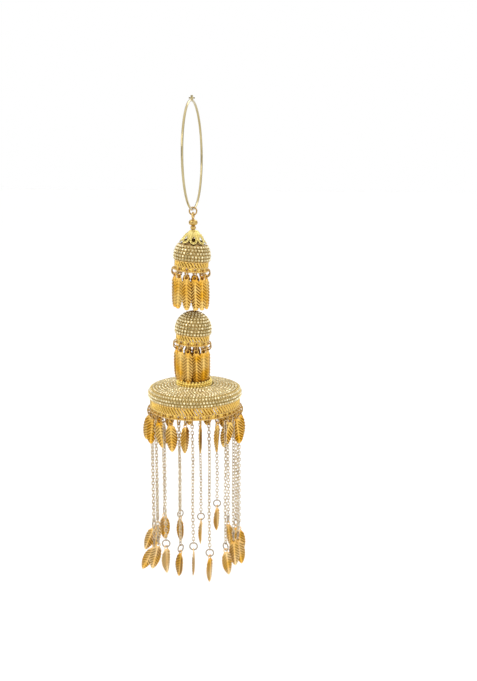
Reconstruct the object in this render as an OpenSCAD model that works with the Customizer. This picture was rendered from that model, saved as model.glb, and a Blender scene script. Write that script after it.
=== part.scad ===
// A long bridal ear drop: an ear hoop, two small stone-set domes fringed with
// leaves, and a wide stone-set drum with leaves and hanging chains.
// Millimetres, +Z up. The origin is the top of the hoop's wire, where the ear holds it.

/* [Ear hoop] */
// Outside diameter of the ear hoop
hoop_od = 50; // [40:1:60]
// Thickness of the hoop wire
hoop_wire = 1.1; // [0.9:0.1:1.3]
// Height of the upturned end that locks the hoop
lock_h = 2.2; // [1.6:0.1:3]
// Outside diameter of the flat eyelet that the upturned end goes through
eyelet_d = 2.8; // [2.6:0.1:3.4]
// Thickness of the flat eyelet
eyelet_t = 0.6; // [0.4:0.1:0.8]
// Open part of the hoop beside its upturned end, in degrees
hoop_gap = 7; // [6:0.5:9]
// Turn of the hoop out of the YZ plane, in degrees
hoop_turn = 4.5; // [0:0.5:8]

/* [Jump ring and pin] */
// Outside diameter of the jump ring between hoop and pin
jump_od = 4.2; // [4.1:0.1:5]
// Wire thickness of the jump ring
jump_wire = 0.7; // [0.6:0.1:0.8]
// Thickness of the central pin and of its eye
pin_d = 1; // [0.8:0.1:1.1]
// Outside diameter of the eye at the top of the pin
eye_od = 3.4; // [3.3:0.1:4]
// Diameter of the collars on the pin that carry the domes and the drum
flange_d = 3.2; // [2.6:0.1:4]
// Thickness of those collars
flange_t = 0.8; // [0.5:0.1:1.2]

/* [Beads and cap] */
// Diameter of the large bead under the eye
bead_d = 4.3; // [3.5:0.1:5]
// Height of the large bead
bead_h = 2.9; // [2:0.1:4]
// Diameter of the small bead on the cap
small_bead_d = 2.7; // [2.3:0.1:3.4]
// Height of the small bead
small_bead_h = 1.7; // [1:0.1:2.5]
// Share of a bead's diameter at its ends
bead_end_share = 0.55; // [0.5:0.05:0.8]
// Share of a bead's height in its straight belt
bead_belt_share = 0.28; // [0.1:0.02:0.5]
// Outside radius of the petal cap at its rim
cap_r = 6.1; // [5.5:0.1:6.5]
// Outside radius of the petal cap at its top
cap_top_r = 1.8; // [1.7:0.1:2.4]
// Height of the petal cap
cap_h = 6.1; // [5.5:0.1:6.5]
// Wall of the petal cap
cap_wall = 0.6; // [0.4:0.1:0.8]
// Number of petals round the cap
petals = 8; // [6:1:9]
// Turn of the petals round the cap, in degrees
petal_turn = 16.5; // [0:0.5:44]
// Width of the gap between two petals at the rim
petal_gap_w = 1.6; // [1:0.1:2]
// Width of that gap at its top
petal_gap_top = 0.3; // [0.2:0.1:0.5]
// Height of the gap between two petals
petal_gap_h = 3.6; // [2:0.1:4.2]
// Diameter of the piercing in each petal
petal_hole_d = 1.2; // [0.8:0.1:1.5]
// Angle of that piercing from the top of the cap, in degrees
petal_hole_angle = 62; // [56:1:66]

/* [Domes] */
// Outside radius of a dome's metal, without its stones
dome_r = 7.9; // [7.4:0.1:9]
// Wall of the domes
dome_wall = 0.6; // [0.5:0.1:0.8]
// Height of the stone-set skirt under the half sphere
dome_skirt = 2.3; // [2.1:0.1:4]
// Height of the pierced band under the skirt
dome_band = 4.5; // [4.1:0.1:7]
// Distance from the first dome down to the second
dome_step = 35.1; // [34:0.1:45]
// Lean of the first dome to the right
upper_lean = 5; // [0:0.5:6]
// Lean of the second dome to the right
lower_lean = 4; // [0:0.5:6]
// Number of leaves round each dome
dome_leaves = 12; // [10:1:12]

/* [Drum] */
// Outside radius of the drum's metal, without its stones
drum_r = 21.7; // [20:0.1:25]
// Wall of the drum
drum_wall = 0.6; // [0.5:0.1:0.8]
// Slope of the drum's top in degrees
drum_slope = 7; // [3:0.5:9]
// Rounding between the drum's top and its side
drum_corner = 1.8; // [1.2:0.1:2.2]
// Height of the stone-set part of the side, under the rounding
drum_skirt = 2.6; // [2.4:0.1:4]
// Height of the pierced gallery under it
drum_band = 5.6; // [4.8:0.1:8]
// Height of the beaded collar round the second dome's leaf tips
collar_h = 2.4; // [1.6:0.1:2.8]
// Outside radius of the beaded collar
collar_r = 8.9; // [8:0.1:9.4]
// Thickness of the beaded collar
collar_t = 1.1; // [0.8:0.1:1.4]

/* [Stone rows] */
// Height of a stone in its cup
stone_h = 0.9; // [0.6:0.1:1.1]
// Width of a row of stones
stone_w = 1.25; // [1:0.05:1.35]
// Distance between neighbouring rows
stone_pitch = 1.5; // [1.45:0.05:1.9]
// Width of the flat table on top of the stones
table_w = 0.7; // [0.4:0.05:0.9]
// Gap between a row of stones and the piece beside it
row_gap = 0.1; // [0.05:0.05:0.15]

/* [Pierced bands] */
// Thickness of the round wires that edge the bands
rim_wire = 0.8; // [0.6:0.1:0.9]
// Width of a slanted opening
slot_w = 1.1; // [0.7:0.1:1.3]
// Lean of the openings in degrees
slot_lean = 32; // [15:1:40]
// Number of openings round the drum's gallery
drum_slots = 36; // [24:1:40]
// Height left plain above and below the openings of a dome's band
slot_margin = 0.5; // [0.3:0.1:0.8]
// Metal between a ring's hole and the band's edge wire
edge_margin = 0.05; // [0.05:0.05:0.15]

/* [Rings and leaves] */
// Outside diameter of the rings that carry the leaves and chains
ring_od = 4; // [3.8:0.1:4.4]
// Wire thickness of those rings
ring_wire = 0.6; // [0.5:0.05:0.65]
// Length of a dome's leaf from its hole to its tip
leaf_len = 14.8; // [11:0.1:15]
// Length of a leaf at the drum or on a chain, from its hole to its tip
small_leaf_len = 13.2; // [10:0.1:15]
// Width of a leaf
leaf_w = 4.8; // [4:0.1:5]
// Thickness of a leaf's plate
leaf_t = 0.4; // [0.3:0.05:0.5]
// Height of the veins on a leaf
vein_h = 0.2; // [0.15:0.05:0.25]
// Width of a vein
vein_w = 0.4; // [0.3:0.05:0.5]
// Distance between two pairs of veins
vein_pitch = 1.5; // [1.3:0.1:2]
// Slope of the veins below the level, in degrees
vein_slope = 39; // [30:1:50]
// Depth of the teeth at a leaf's edge
leaf_tooth = 0.12; // [0.08:0.02:0.16]
// Diameter of the hole in a leaf's loop
loop_hole = 1.5; // [1.45:0.05:1.6]
// Width of the metal round that hole
loop_rim = 0.45; // [0.4:0.05:0.6]
// Turn of the domes' leaves out of the round, so that they shingle
dome_leaf_turn = 20; // [17:1:26]

/* [Chains] */
// Outside diameter of a chain
chain_d = 1.7; // [1.4:0.1:2]
// Length of the longest chain
chain_length = 64; // [52:1:72]
// Outside diameter of the ring at a chain's end
end_ring_od = 4.2; // [3.8:0.1:4.6]

/* [Fits] */
// Gap between pieces that hang in one another
link_gap = 0.1; // [0.05:0.05:0.15]
// Gap between pieces that sit on one another
seat_gap = 0.1; // [0.1:0.05:0.2]
// Gap between the second dome's leaf tips and the collar
tip_gap = 0.4; // [0.2:0.1:0.8]
// Extra play of a ring in a leaf's hole, so that the leaf can turn
turn_play = 0.1; // [0.1:0.05:0.15]
// Play of a ring in the hole of a band that it goes through
ring_hole_play = 0.5; // [0.45:0.05:0.6]
// Play of the pin in the holes that it goes through
pin_play = 0.3; // [0.2:0.05:0.4]

/* [Hidden] */

gold = [0.90, 0.70, 0.25];
bright_gold = [0.96, 0.82, 0.35];
leaf_gold = [0.87, 0.60, 0.15];
champagne = [0.80, 0.74, 0.58];
pale_gold = [0.82, 0.78, 0.68];

// Columns: angle round the drum, share of the longest chain's length, direction that
// the end ring faces, turn of the end leaf, turn of the drum's leaf that hangs after it
CHAINS = [
    [15, 0.885, 190, 0, 30],
    [34.5, 0.916, 220, 20, -25],
    [54.5, 0.932, 180, -20, 30],
    [74.5, 0.823, 282, -30, 15],
    [98.5, 0.955, 290, -30, 30],
    [128, 0.916, 322, 0, -20],
    [155, 0.854, 215, -25, 25],
    [172, 0.885, 200, 10, -30],
    [189, 0.877, 170, 10, 25],
    [206, 0.995, 192, 0, -25],
    [223.5, 0.932, 210, -15, 25],
    [241.5, 0.916, 282, -30, -20],
    [264, 0.924, 332, 0, 30],
    [281, 0.901, 282, 0, 35],
    [302, 0.963, 280, -30, -25],
    [326, 0.948, 234, -15, 30],
    [342.5, 0.901, 200, 0, -25],
    [358.8, 0.932, 180, 15, 25]];
// Columns: share of the chain's length below its top, small sway round the drum
CHAIN_ROUTE = [[0, 0], [0.3, 0.2], [0.7, -0.2], [1, 0]];
chain_sides = 8;

wire_fn = 48;
turn_fn = 96;
cut = 1;
cap_steps = 10;

// Hoop, jump ring and eye, each at the middle of its wire
hoop_r = (hoop_od - hoop_wire) / 2;
hoop_low = -2 * hoop_r;
jump_r = (jump_od - jump_wire) / 2;
jump_z = hoop_low + hoop_wire / 2 + link_gap + jump_wire / 2 - jump_r;
jump_low = jump_z - jump_r;
eye_r = (eye_od - pin_d) / 2;
eye_z = jump_low + jump_wire / 2 + link_gap + pin_d / 2 - eye_r;

// Beads, cap and domes from the top down
bead_top = eye_z - eye_od / 2 - seat_gap;
small_bead_top = bead_top - bead_h - seat_gap;
cap_top = small_bead_top - small_bead_h - seat_gap - small_bead_d / 2 * sin(upper_lean);
cap_z = cap_top - cap_h;
dome_seat_r = dome_r + seat_gap;
cap_inner_r = cap_r - cap_wall;
upper_z = cap_z - sqrt(pow(dome_seat_r, 2) - pow(cap_inner_r, 2));
upper_apex = upper_z + dome_r;
lean_play = (cap_top - upper_apex) * sin(upper_lean);
lower_z = upper_z - dome_step;
lower_apex = lower_z + dome_r;
dome_in_r = dome_r - dome_wall;
dome_low = -dome_skirt - dome_band;
dome_mid_r = dome_r - dome_wall / 2;

// Rings that hang in the holes of a band's lower edge
ring_r = (ring_od - ring_wire) / 2;
ring_hole_d = ring_wire + ring_hole_play;
ring_hole_up = rim_wire / 2 + ring_hole_d / 2 + edge_margin;
ring_down = ring_r + ring_hole_d / 2 - ring_wire / 2 - link_gap;
loop_down = loop_hole / 2 - ring_wire / 2 - link_gap - turn_play;
leaf_hole_down = ring_down + ring_r + loop_down;
loop_od = loop_hole + 2 * loop_rim;

// Drum, from the second dome's leaf tips down
lower_tips = lower_z + dome_low + ring_hole_up - leaf_hole_down - leaf_len;
collar_low = lower_tips - tip_gap - collar_h;
drum_apex = collar_low - seat_gap + (collar_r - collar_t) * tan(drum_slope);
drum_flat_r = drum_r - drum_corner;
drum_corner_z = drum_apex - drum_flat_r * tan(drum_slope) - drum_corner / cos(drum_slope);
drum_gallery = drum_corner_z - drum_skirt;
drum_low = drum_gallery - drum_band;
drum_mid_r = drum_r - drum_wall / 2;
drum_hole_z = drum_low + ring_hole_up;
drum_leaf_z = drum_hole_z - leaf_hole_down;
chain_top = drum_hole_z - ring_down - ring_od / 2 - link_gap;
end_ring_r = (end_ring_od - ring_wire) / 2;
end_leaf_down = link_gap + end_ring_od / 2 + end_ring_r + loop_down;

function chain_angle(i) = CHAINS[i][0];
function chain_len(i) = CHAINS[i][1] * chain_length;
function next_angle(i) = i < len(CHAINS) - 1 ? CHAINS[i + 1][0] : CHAINS[0][0] + 360;
function leaf_angle(i) = (chain_angle(i) + next_angle(i)) / 2;
function arc(x, z, r, from, to, steps) =
    [for (i = [0:steps]) let (a = from + (to - from) * i / steps) [x + r * cos(a), z + r * sin(a)]];

// Half width of a leaf at a share of its body's length below the top, with small teeth
function leaf_half(s, w) = w / 2 * sqrt(sin(180 * pow(s, 0.85)));
leaf_steps = 18;

module wire_ring(od, wire)
    rotate_extrude($fn = turn_fn) translate([(od - wire) / 2, 0]) circle(d = wire, $fn = wire_fn);

// A ring standing in the plane that runs outwards and down
module hanging_ring(od, wire) rotate([90, 0, 0]) wire_ring(od, wire);

module leaf_outline(body, w) polygon(concat(
    [for (i = [0:leaf_steps]) let (s = i / leaf_steps)
        [leaf_half(s, w) - (i % 2) * leaf_tooth * sin(180 * s), -s * body]],
    [for (i = [leaf_steps - 1:-1:1]) let (s = i / leaf_steps)
        [(i % 2) * leaf_tooth * sin(180 * s) - leaf_half(s, w), -s * body]]));

// Midrib and pairs of veins that run outwards and down
module leaf_veins(body, w) {
    count = floor(body * 0.8 / vein_pitch);
    translate([-vein_w / 2, -body * 0.95]) square([vein_w, body * 0.95]);
    for (i = [1:count]) {
        down = (i - 0.5) * vein_pitch;
        reach = leaf_half(down / body + 0.06, w) * 0.82;
        drop = reach * tan(vein_slope);
        for (side = [-1, 1])
            polygon([[0, -down], [side * reach, -down - drop], [side * reach, -down - drop - vein_w],
                [0, -down - vein_w]]);
    }
}

// A leaf that hangs from the middle of its loop's hole, facing +X
module leaf(length) {
    body = length - loop_hole / 2;
    rotate([90, 0, 90]) {
        translate([0, 0, -leaf_t / 2]) linear_extrude(leaf_t) difference() {
            union() {
                circle(d = loop_od, $fn = wire_fn);
                translate([0, -loop_hole / 2]) leaf_outline(body, leaf_w);
            }
            circle(d = loop_hole, $fn = wire_fn);
        }
        translate([0, -loop_hole / 2 - loop_rim, leaf_t / 2])
            linear_extrude(vein_h) leaf_veins(body - loop_rim, leaf_w);
    }
}

// One row of stones, as a ring whose section has a table and sloping sides
module stone_row_2d() polygon([[-stone_w / 2, 0], [stone_w / 2, 0], [stone_w / 2, stone_h / 2],
    [table_w / 2, stone_h], [-table_w / 2, stone_h], [-stone_w / 2, stone_h / 2]]);

module stone_row(r, z, lean)
    rotate_extrude($fn = turn_fn) translate([r, z]) rotate(-lean) stone_row_2d();

// Places a dome's pieces: its centre, leaning about the middle of its top
module on_dome(z, lean)
    translate([0, 0, z + dome_r]) rotate([0, lean, 0]) translate([0, 0, -dome_r]) children();

module bell_2d(r, drop) intersection() {
    union() {
        circle(r = r, $fn = turn_fn);
        translate([-r, -drop]) square([2 * r, drop]);
    }
    translate([0, -drop]) square([r, drop + r]);
}

module dome_metal() {
    slot_z = -dome_skirt - rim_wire / 2 - (dome_band - rim_wire - ring_hole_d) / 2;
    slot_h = dome_band - rim_wire - ring_hole_d - slot_margin;
    difference() {
        union() {
            rotate_extrude($fn = turn_fn) difference() {
                bell_2d(dome_r, -dome_low);
                bell_2d(dome_r - dome_wall, cut - dome_low);
            }
            for (z = [-dome_skirt, dome_low])
                translate([0, 0, z]) wire_ring(2 * dome_mid_r + rim_wire, rim_wire);
        }
        translate([0, 0, dome_r / 2]) cylinder(h = dome_r, d = pin_d + 2 * pin_play, $fn = wire_fn);
        for (i = [0:dome_leaves - 1]) rotate([0, 0, 360 * i / dome_leaves]) {
            translate([dome_r - dome_wall - cut, 0, dome_low + ring_hole_up]) rotate([0, 90, 0])
                cylinder(h = dome_wall + 2 * cut, d = ring_hole_d, $fn = wire_fn);
            rotate([0, 0, 180 / dome_leaves]) translate([dome_mid_r, 0, slot_z])
                rotate([slot_lean, 0, 0]) cube([dome_wall + 2 * cut, slot_w, slot_h], center = true);
        }
    }
}

// Rows of stones from the skirt up to an angle from the top of the half sphere
module dome_stones(top_angle) {
    step = stone_pitch / (dome_r + stone_h / 2) * 180 / PI;
    first = 90 - step / 5;
    row_r = dome_r + seat_gap;
    stone_row(row_r, -dome_skirt + rim_wire / 2 + stone_w / 2 + row_gap, 90);
    for (a = [first:-step:top_angle]) stone_row(row_r * sin(a), row_r * cos(a), a);
}

module dome_rings()
    for (i = [0:dome_leaves - 1]) rotate([0, 0, 360 * i / dome_leaves])
        translate([dome_mid_r, 0, dome_low + ring_hole_up - ring_down]) hanging_ring(ring_od, ring_wire);

module dome_leaf_fringe()
    for (i = [0:dome_leaves - 1]) rotate([0, 0, 360 * i / dome_leaves])
        translate([dome_mid_r, 0, dome_low + ring_hole_up - leaf_hole_down])
            rotate([0, 0, dome_leaf_turn]) leaf(leaf_len);

module ear_hoop() color(bright_gold) rotate([0, 0, hoop_turn]) {
    end_y = hoop_r * sin(hoop_gap);
    end_z = hoop_r * (cos(hoop_gap) - 1);
    tang_z = hoop_wire / 2 + link_gap + eyelet_t / 2;
    tang_run = end_y - eyelet_d / 2 + eyelet_t / 2;
    tang_rise = tang_z - end_z;
    difference() {
        union() {
            translate([0, 0, -hoop_r]) rotate([90, 0, 90])
                rotate_extrude(angle = 360 - hoop_gap, start = 90 + hoop_gap, $fn = turn_fn)
                    translate([hoop_r, 0]) circle(d = hoop_wire, $fn = wire_fn);
            translate([0, -end_y, end_z]) sphere(d = hoop_wire, $fn = wire_fn);
            translate([0, -end_y, end_z]) rotate([-atan2(tang_run, tang_rise), 0, 0])
                cylinder(h = norm([tang_run, tang_rise]), d = eyelet_t, $fn = wire_fn);
            translate([0, 0, tang_z - eyelet_t / 2]) cylinder(h = eyelet_t, d = eyelet_d, $fn = wire_fn);
        }
        translate([0, 0, hoop_wire / 2 + link_gap / 2])
            cylinder(h = lock_h, d = hoop_wire + 2 * link_gap, $fn = wire_fn);
    }
    sphere(d = hoop_wire, $fn = wire_fn);
    cylinder(h = lock_h, d = hoop_wire, $fn = wire_fn);
}

module jump_ring() color(gold) translate([0, 0, jump_z]) hanging_ring(jump_od, jump_wire);

// A collar on the pin, whose top is clear of the piece that it carries at its rim
module pin_collar(under, rim_drop) translate([0, 0, under - seat_gap - rim_drop - flange_t])
    cylinder(h = flange_t, d = flange_d, $fn = wire_fn);

module center_pin() color(gold) {
    drum_rim_drop = flange_d / 2 * tan(drum_slope);
    dome_rim_drop = dome_in_r - sqrt(pow(dome_in_r, 2) - pow(flange_d / 2, 2));
    foot = drum_apex - drum_wall - seat_gap - drum_rim_drop - flange_t;
    translate([0, 0, eye_z]) rotate([90, 0, 90]) wire_ring(eye_od, pin_d);
    translate([0, 0, foot]) cylinder(h = eye_z - eye_r - foot, d = pin_d, $fn = wire_fn);
    pin_collar(upper_apex - dome_wall, dome_rim_drop + flange_d / 2 * sin(upper_lean));
    pin_collar(lower_apex - dome_wall, dome_rim_drop + flange_d / 2 * sin(lower_lean));
    pin_collar(drum_apex - drum_wall, drum_rim_drop);
}

// A bead with sloping ends and a straight belt
module bicone_bead(d, h) difference() {
    end_d = d * bead_end_share;
    belt_h = h * bead_belt_share;
    end_h = (h - belt_h) / 2;
    union() {
        cylinder(h = end_h, d1 = end_d, d2 = d, $fn = wire_fn);
        translate([0, 0, end_h]) cylinder(h = belt_h, d = d, $fn = wire_fn);
        translate([0, 0, end_h + belt_h]) cylinder(h = end_h, d1 = d, d2 = end_d, $fn = wire_fn);
    }
    translate([0, 0, -cut]) cylinder(h = h + 2 * cut, d = pin_d + 2 * link_gap, $fn = wire_fn);
}

module round_bead() color(gold) translate([0, 0, bead_top - bead_h]) bicone_bead(bead_d, bead_h);

module small_bead() color(gold) translate([0, 0, small_bead_top - small_bead_h])
    bicone_bead(small_bead_d, small_bead_h);

// A slightly bulging cone, filled down to the rim, with its top a way below the cap's
module cap_2d(down) polygon(concat([[0, -down - cut], [0, cap_h - down]],
    [for (k = [0:cap_steps]) let (t = k / cap_steps)
        [cap_top_r + (cap_r - cap_top_r) * pow(t, 0.8), cap_h * (1 - t) - down]],
    [[cap_r, -down - cut]]));

module petal_cap() color(bright_gold) on_dome(upper_z, upper_lean) {
    cap_up = cap_z - upper_z;
    wall_down = cap_wall / cos(atan2(cap_h, cap_r - cap_top_r));
    difference() {
        translate([0, 0, cap_up]) difference() {
            rotate_extrude($fn = turn_fn) difference() {
                cap_2d(0);
                cap_2d(wall_down);
                translate([0, -2 * cut]) square([cap_r + cut, 2 * cut]);
            }
            cylinder(h = cap_h + cut, d = pin_d + 2 * pin_play + 2 * lean_play, $fn = wire_fn);
            for (i = [0:petals - 1]) rotate([0, 0, petal_turn + 360 * (i + 0.5) / petals]) {
                rotate([90, 0, 90]) linear_extrude(cap_r + cut)
                    polygon([[-petal_gap_w / 2, -cut], [petal_gap_w / 2, -cut],
                        [petal_gap_top / 2, petal_gap_h], [-petal_gap_top / 2, petal_gap_h]]);
                rotate([0, 0, 180 / petals]) rotate([0, petal_hole_angle, 0])
                    cylinder(h = cap_r + cut, d = petal_hole_d, $fn = wire_fn);
            }
        }
        sphere(r = dome_seat_r, $fn = turn_fn);
    }
}

module upper_dome() color(gold) on_dome(upper_z, upper_lean) dome_metal();
module lower_dome() color(gold) on_dome(lower_z, lower_lean) dome_metal();

module upper_dome_stones() color(champagne) on_dome(upper_z, upper_lean)
    dome_stones(asin((cap_r + row_gap) / dome_seat_r) + atan(stone_w / 2 / dome_seat_r));
module lower_dome_stones() color(champagne) on_dome(lower_z, lower_lean)
    dome_stones(asin((pin_d / 2 + pin_play + stone_w) / dome_seat_r));

module upper_leaf_rings() color(gold) on_dome(upper_z, upper_lean) dome_rings();
module lower_leaf_rings() color(gold) on_dome(lower_z, lower_lean) dome_rings();
module upper_leaves() color(leaf_gold) on_dome(upper_z, upper_lean) dome_leaf_fringe();
module lower_leaves() color(leaf_gold) on_dome(lower_z, lower_lean) dome_leaf_fringe();

// A short tube with two rows of beading on its outside, standing on the sloping top
module leaf_collar() color(bright_gold) {
    in_r = collar_r - collar_t;
    rotate_extrude($fn = turn_fn) difference() {
        union() {
            translate([in_r, collar_low - collar_t]) square([collar_t * 0.6, collar_h + collar_t]);
            for (up = [0.25, 0.75]) translate([collar_r - collar_h / 4, collar_low + collar_h * up])
                circle(r = collar_h / 4, $fn = wire_fn);
        }
        polygon([[0, drum_apex + seat_gap], [collar_r + cut, drum_apex + seat_gap
            - (collar_r + cut) * tan(drum_slope)], [collar_r + cut, collar_low - 3 * collar_t],
            [0, collar_low - 3 * collar_t]]);
    }
}

module drum_profile(r, corner, apex, low) polygon(concat([[0, low], [0, apex]],
    arc(r - corner, apex - (r - corner) * tan(drum_slope) - corner / cos(drum_slope), corner,
        90 - drum_slope, 0, 6), [[r, low]]));

module drum() color(gold) {
    slot_h = (drum_band - 1.5 * rim_wire - ring_hole_d) / cos(slot_lean);
    slot_z = drum_gallery - rim_wire / 2 - slot_h * cos(slot_lean) / 2 - row_gap;
    difference() {
        union() {
            rotate_extrude($fn = turn_fn) difference() {
                drum_profile(drum_r, drum_corner, drum_apex, drum_low);
                drum_profile(drum_r - drum_wall, drum_corner - drum_wall,
                    drum_apex - drum_wall, drum_low - cut);
            }
            for (z = [drum_gallery, drum_low])
                translate([0, 0, z]) wire_ring(2 * drum_mid_r + rim_wire, rim_wire);
        }
        translate([0, 0, drum_apex - drum_wall - cut])
            cylinder(h = drum_wall + 2 * cut, d = pin_d + 2 * pin_play, $fn = wire_fn);
        for (i = [0:len(CHAINS) - 1]) for (a = [chain_angle(i), leaf_angle(i)]) rotate([0, 0, a])
            translate([drum_r - drum_wall - cut, 0, drum_hole_z]) rotate([0, 90, 0])
                cylinder(h = drum_wall + 2 * cut, d = ring_hole_d, $fn = wire_fn);
        for (i = [0:drum_slots - 1]) rotate([0, 0, 360 * i / drum_slots])
            translate([drum_mid_r, 0, slot_z]) rotate([slot_lean, 0, 0])
                cube([drum_wall + 2 * cut, slot_w, slot_h - slot_w], center = true);
    }
}

// Rows on the sloping top, round the corner and down the side
module drum_stones() color(champagne) {
    off = drum_corner + seat_gap;
    span = drum_flat_r - collar_r - stone_w / 2 - row_gap;
    top_rows = round(span / stone_pitch);
    corner_rows = max(1, floor((90 - drum_slope) * PI / 180 * off / (stone_w + row_gap)));
    for (k = [0:top_rows]) let (r = drum_flat_r - span * k / top_rows)
        stone_row(r + seat_gap * sin(drum_slope),
            drum_apex - r * tan(drum_slope) + seat_gap * cos(drum_slope), drum_slope);
    for (k = [1:corner_rows]) let (a = drum_slope + (90 - drum_slope) * k / corner_rows)
        stone_row(drum_flat_r + off * sin(a), drum_corner_z + off * cos(a), a);
    for (z = [drum_gallery + rim_wire / 2 + stone_w / 2 + row_gap:stone_pitch:drum_corner_z - stone_w])
        stone_row(drum_r + seat_gap, z, 90);
}

module drum_rings() color(gold)
    for (i = [0:len(CHAINS) - 1]) for (a = [chain_angle(i), leaf_angle(i)]) rotate([0, 0, a])
        translate([drum_mid_r, 0, drum_hole_z - ring_down]) hanging_ring(ring_od, ring_wire);

module drum_leaves() color(leaf_gold)
    for (i = [0:len(CHAINS) - 1]) rotate([0, 0, leaf_angle(i)])
        translate([drum_mid_r, 0, drum_leaf_z]) rotate([0, 0, CHAINS[i][4]]) leaf(small_leaf_len);

// A chain's outer form, swept with flat rings of points down its route
module chain(i) color(pale_gold) {
    rows = len(CHAIN_ROUTE);
    points = [for (row = CHAIN_ROUTE) for (k = [0:chain_sides - 1])
        [chain_d / 2 * cos(360 * k / chain_sides), row[1] + chain_d / 2 * sin(360 * k / chain_sides),
            -row[0] * chain_len(i)]];
    sides = [for (j = [0:rows - 2]) for (k = [0:chain_sides - 1]) let (n = (k + 1) % chain_sides)
        [j * chain_sides + k, j * chain_sides + n, (j + 1) * chain_sides + n, (j + 1) * chain_sides + k]];
    top = [[for (k = [chain_sides - 1:-1:0]) k]];
    foot = [[for (k = [0:chain_sides - 1]) (rows - 1) * chain_sides + k]];
    rotate([0, 0, chain_angle(i)]) translate([drum_mid_r, 0, chain_top])
        polyhedron(points = points, faces = concat(sides, top, foot));
}

// The turned place at the foot of a chain, at the middle of its end ring or of its leaf's hole
module at_chain_end(i, down)
    rotate([0, 0, chain_angle(i)]) translate([drum_mid_r, 0, chain_top - chain_len(i) - down])
        rotate([0, 0, CHAINS[i][2] + 90 - chain_angle(i)]) children();

module chain_end_rings() color(pale_gold)
    for (i = [0:len(CHAINS) - 1]) at_chain_end(i, link_gap + end_ring_od / 2)
        hanging_ring(end_ring_od, ring_wire);

module chain_leaf(i) color(leaf_gold)
    at_chain_end(i, end_leaf_down) rotate([0, 0, CHAINS[i][3]]) leaf(small_leaf_len);

ear_hoop();
jump_ring();
center_pin();
round_bead();
small_bead();
petal_cap();
upper_dome();
upper_dome_stones();
upper_leaf_rings();
upper_leaves();
lower_dome();
lower_dome_stones();
lower_leaf_rings();
lower_leaves();
leaf_collar();
drum();
drum_stones();
drum_rings();
drum_leaves();
chain_end_rings();
chain(0);  // chain_01
chain(1);  // chain_02
chain(2);  // chain_03
chain(3);  // chain_04
chain(4);  // chain_05
chain(5);  // chain_06
chain(6);  // chain_07
chain(7);  // chain_08
chain(8);  // chain_09
chain(9);  // chain_10
chain(10);  // chain_11
chain(11);  // chain_12
chain(12);  // chain_13
chain(13);  // chain_14
chain(14);  // chain_15
chain(15);  // chain_16
chain(16);  // chain_17
chain(17);  // chain_18
chain_leaf(0);  // chain_leaf_01
chain_leaf(1);  // chain_leaf_02
chain_leaf(2);  // chain_leaf_03
chain_leaf(3);  // chain_leaf_04
chain_leaf(4);  // chain_leaf_05
chain_leaf(5);  // chain_leaf_06
chain_leaf(6);  // chain_leaf_07
chain_leaf(7);  // chain_leaf_08
chain_leaf(8);  // chain_leaf_09
chain_leaf(9);  // chain_leaf_10
chain_leaf(10);  // chain_leaf_11
chain_leaf(11);  // chain_leaf_12
chain_leaf(12);  // chain_leaf_13
chain_leaf(13);  // chain_leaf_14
chain_leaf(14);  // chain_leaf_15
chain_leaf(15);  // chain_leaf_16
chain_leaf(16);  // chain_leaf_17
chain_leaf(17);  // chain_leaf_18
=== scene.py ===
"""A long bridal ear drop in plated brass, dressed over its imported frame: an ear hoop, two small
stone-set domes fringed with leaves, and a wide stone-set drum hung with leaves and fine chains."""
import math
import random

import bmesh
import bpy
from mathutils import Matrix, Vector


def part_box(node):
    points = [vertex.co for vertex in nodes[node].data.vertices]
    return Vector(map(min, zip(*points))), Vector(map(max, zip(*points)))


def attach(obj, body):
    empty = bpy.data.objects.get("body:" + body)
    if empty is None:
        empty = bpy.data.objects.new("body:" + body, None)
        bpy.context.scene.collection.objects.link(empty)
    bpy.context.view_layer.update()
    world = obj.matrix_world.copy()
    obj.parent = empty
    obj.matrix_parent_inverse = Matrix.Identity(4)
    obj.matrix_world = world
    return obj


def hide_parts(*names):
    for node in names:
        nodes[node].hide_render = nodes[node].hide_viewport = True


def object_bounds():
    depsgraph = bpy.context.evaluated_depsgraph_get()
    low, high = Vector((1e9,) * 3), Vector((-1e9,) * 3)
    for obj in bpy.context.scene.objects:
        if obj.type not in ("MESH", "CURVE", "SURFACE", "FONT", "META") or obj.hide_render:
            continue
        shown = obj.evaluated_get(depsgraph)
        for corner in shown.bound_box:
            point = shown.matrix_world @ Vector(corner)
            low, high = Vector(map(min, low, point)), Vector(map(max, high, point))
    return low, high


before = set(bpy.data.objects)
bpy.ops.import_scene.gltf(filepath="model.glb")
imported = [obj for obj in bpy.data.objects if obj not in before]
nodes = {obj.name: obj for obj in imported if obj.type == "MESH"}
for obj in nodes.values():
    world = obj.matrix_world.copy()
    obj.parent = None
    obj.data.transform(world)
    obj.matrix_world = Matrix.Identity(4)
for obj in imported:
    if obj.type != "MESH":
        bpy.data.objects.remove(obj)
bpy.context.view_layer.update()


# Ear hoop, jump ring and pin
# Round brass wire, bent and soldered, then tumbled bright and plated in yellow gold. The hoop's
# upturned end locks in its eyelet; the pin runs down through both domes and carries the drum.

class Socket:
    """An output of a shader node that takes part in sums."""

    def __init__(self, finish, end):
        self.finish = finish
        self.end = end

    def math(self, operation, first, second):
        return self.finish.node("Math", {0: first, 1: second}, operation=operation)

    def __add__(self, other):
        return self.math("ADD", self, other)

    def __sub__(self, other):
        return self.math("SUBTRACT", self, other)

    def __rsub__(self, other):
        return self.math("SUBTRACT", other, self)

    def __mul__(self, other):
        return self.math("MULTIPLY", self, other)

    __radd__ = __add__
    __rmul__ = __mul__


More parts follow.
